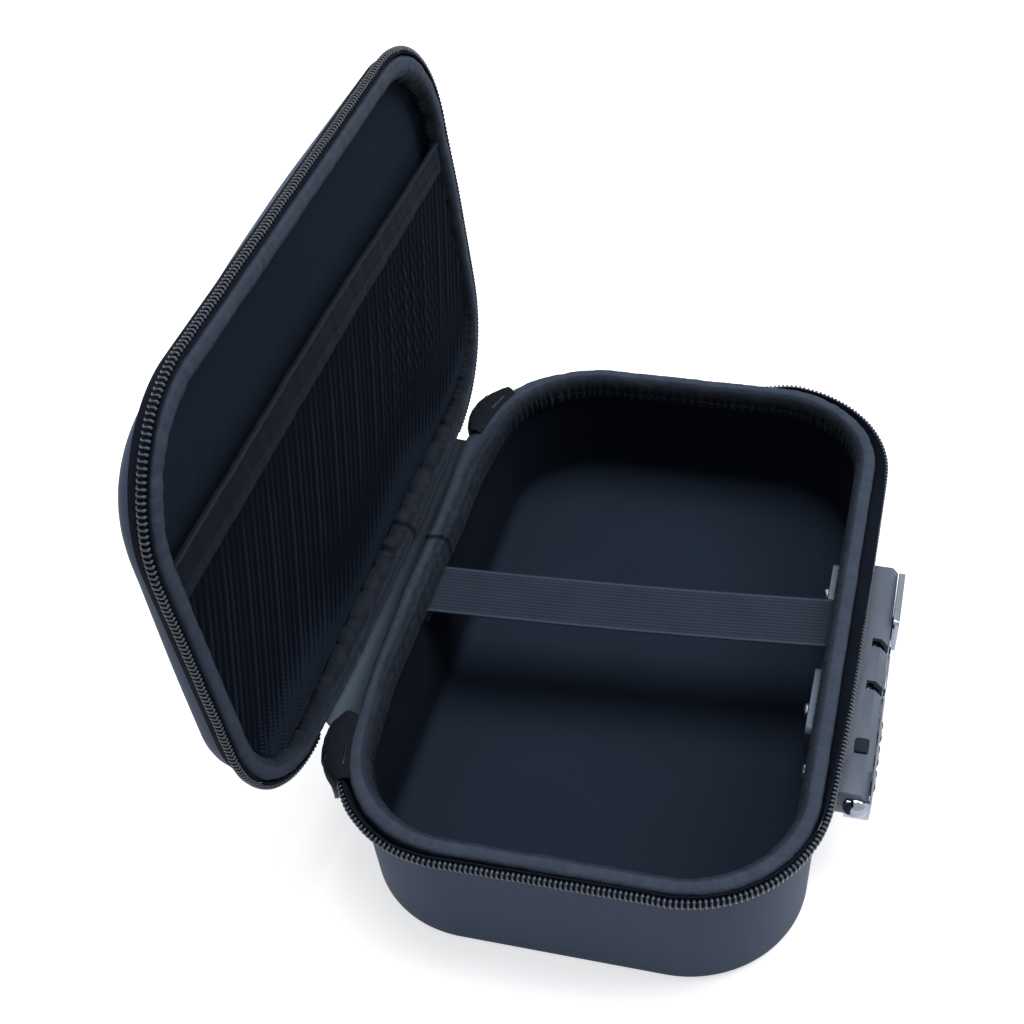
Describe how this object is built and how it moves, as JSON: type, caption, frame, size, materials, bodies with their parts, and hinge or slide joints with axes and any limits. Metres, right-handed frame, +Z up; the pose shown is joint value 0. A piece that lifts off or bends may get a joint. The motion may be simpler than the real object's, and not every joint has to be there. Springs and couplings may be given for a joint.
{
  "type": "zip case with number lock",
  "caption": "Moulded zip-round storage case standing open, with a number lock on its front wall, an elastic strap across the tray and a pleated pocket in the lid.",
  "frame": {"origin": "centre of the base's flat underside", "axes": "+Z up out of the tray, X along the case's length, -Y out of the wall that carries the lock, +Y towards the hinge"},
  "size_m": [0.262, 0.2109, 0.2149],
  "materials": {
    "shell_fabric": "smooth coated cloth",
    "lining_fabric": "matt knit",
    "binding_fabric": "smooth bias tape",
    "zip_tape_fabric": "woven",
    "zip_coil_plastic": "satin",
    "strap_elastic": "ribbed elastic",
    "hinge_fabric": "smooth tape",
    "pocket_fabric": "gathered mesh",
    "slider_metal": "polished",
    "lock_body_metal": "satin",
    "lock_chrome": "polished",
    "lock_steel": "plain",
    "dial_plastic": "satin",
    "plate_metal": "satin"
  },
  "bodies": {
    "case": {"base_shell": "shell_fabric", "base_lining": "lining_fabric", "base_binding": "binding_fabric", "base_zip_tape": "zip_tape_fabric", "base_zip_coil": "zip_coil_plastic", "divider_strap": "strap_elastic", "hinge_web": "hinge_fabric", "zip_stop_left": "slider_metal", "zip_stop_right": "slider_metal", "lock_housing": "lock_body_metal", "lock_face_plate": "lock_chrome", "lock_base_plate": "lock_steel", "dial_spindle": "lock_steel", "dial_detent": "lock_steel", "release_spring": "lock_steel", "backing_plate_far": "plate_metal", "backing_plate_near": "plate_metal", "lock_screw_1": "lock_steel", "lock_screw_2": "lock_steel", "lock_screw_3": "lock_steel", "screw_washer": "lock_steel"},
    "lid": {"lid_shell": "shell_fabric", "lid_lining": "lining_fabric", "lid_binding": "binding_fabric", "lid_zip_tape": "zip_tape_fabric", "lid_zip_coil": "zip_coil_plastic", "pocket_panel": "pocket_fabric", "pocket_band": "strap_elastic"},
    "slider_left": {"zip_slider_left": "slider_metal"},
    "slider_right": {"zip_slider_right": "slider_metal"},
    "pull_left": {"zip_pull_left": "slider_metal"},
    "pull_right": {"zip_pull_right": "slider_metal"},
    "dial_one": {"dial_1": "dial_plastic"},
    "dial_two": {"dial_2": "dial_plastic"},
    "dial_three": {"dial_3": "dial_plastic"},
    "release": {"release_button": "lock_chrome", "latch_bar": "lock_steel"}
  },
  "joints": [
    {"name": "lid_hinge", "type": "hinge", "parent": "case", "child": "lid", "pos_m": [0, 0.0826, 0.0484], "axis": [-1, 0, 0], "range_deg": [-92.5, 37.5]},
    {"name": "zip_slider_left_run", "type": "hinge", "parent": "case", "child": "slider_left", "pos_m": [-0.0825, 0.036, 0.0552], "axis": [0, 0, 1], "range_deg": [0, 70]},
    {"name": "zip_slider_right_run", "type": "hinge", "parent": "case", "child": "slider_right", "pos_m": [0.0825, 0.036, 0.0552], "axis": [0, 0, -1], "range_deg": [0, 70]},
    {"name": "zip_pull_left_swing", "type": "hinge", "parent": "slider_left", "child": "pull_left", "pos_m": [-0.09507, 0.07817, 0.0552], "axis": [-0.2857, 0.9583, 0], "range_deg": [-35, 35]},
    {"name": "zip_pull_right_swing", "type": "hinge", "parent": "slider_right", "child": "pull_right", "pos_m": [0.09507, 0.07817, 0.0552], "axis": [0.2857, 0.9583, 0], "range_deg": [-35, 35]},
    {"name": "dial_one_turn", "type": "hinge", "parent": "case", "child": "dial_one", "pos_m": [-0.0522, -0.08988, 0.03147], "axis": [1, 0, 0], "continuous": true},
    {"name": "dial_two_turn", "type": "hinge", "parent": "case", "child": "dial_two", "pos_m": [-0.0412, -0.08988, 0.03147], "axis": [1, 0, 0], "continuous": true},
    {"name": "dial_three_turn", "type": "hinge", "parent": "case", "child": "dial_three", "pos_m": [-0.0302, -0.08988, 0.03147], "axis": [1, 0, 0], "continuous": true},
    {"name": "release_slide", "type": "slide", "parent": "case", "child": "release", "axis": [1, 0, 0], "range_m": [0, 0.005], "stiffness_N_per_m": 400, "springref_m": -0.002}
  ]
}
